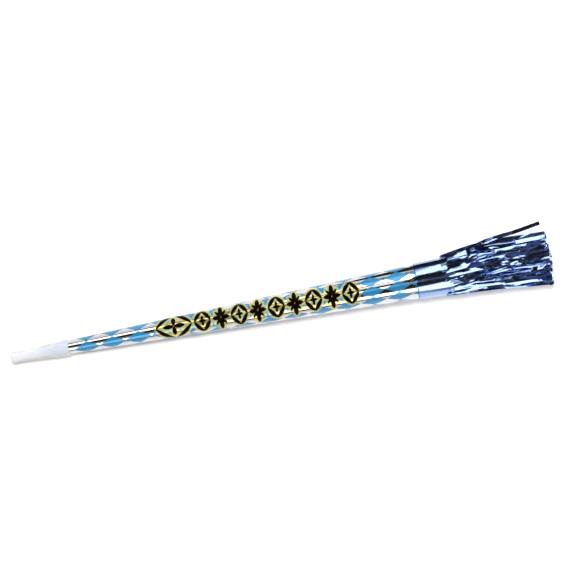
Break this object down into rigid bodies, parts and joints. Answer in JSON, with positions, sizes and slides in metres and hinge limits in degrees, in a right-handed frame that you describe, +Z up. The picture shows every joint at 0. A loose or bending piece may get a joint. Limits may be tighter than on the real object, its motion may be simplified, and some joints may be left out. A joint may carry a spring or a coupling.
{
  "type": "party horn",
  "caption": "Tapered party horn: a plastic reed mouthpiece on a long foil-wrapped paper cone with a lozenge print, and a cut film fringe wound round the bell end.",
  "frame": {"origin": "on the surface that the horn lies on, under the centre of its bounding box", "axes": "+X along the horn from the mouthpiece to the fringe, +Z up from the surface that it lies on"},
  "size_m": [0.3682, 0.0393, 0.0292],
  "materials": {
    "mouthpiece_plastic": "satin",
    "reed_plastic": "satin",
    "reed_brass": "satin",
    "ring_plastic": "satin",
    "paperboard": "matte",
    "foil_print": "gloss",
    "fringe_film": "polished"
  },
  "bodies": {
    "horn": {"mouthpiece": "mouthpiece_plastic", "reed_shallot": "reed_plastic", "reed_ring": "ring_plastic", "cone_core": "paperboard", "foil_wrap": "foil_print", "fringe_band": "fringe_film"},
    "reed": {"reed_tongue": "reed_brass"},
    "tassel": {"fringe_outer_turn": "fringe_film", "fringe_middle_turn": "fringe_film", "fringe_inner_turn": "fringe_film"}
  },
  "joints": [
    {"name": "reed_flex", "type": "hinge", "parent": "horn", "child": "reed", "pos_m": [-0.16701, 0, 0.00666], "axis": [0, 1, 0], "range_deg": [-4.2, 1], "stiffness_Nm_per_rad": 0.0001, "deforming": ["reed_tongue"]},
    {"name": "tassel_sway", "type": "hinge", "parent": "horn", "child": "tassel", "pos_m": [0.10808, 0, 0.0127], "axis": [0, 0, 1], "range_deg": [-20, 20], "stiffness_Nm_per_rad": 0.002, "deforming": ["fringe_outer_turn", "fringe_middle_turn", "fringe_inner_turn"]}
  ]
}
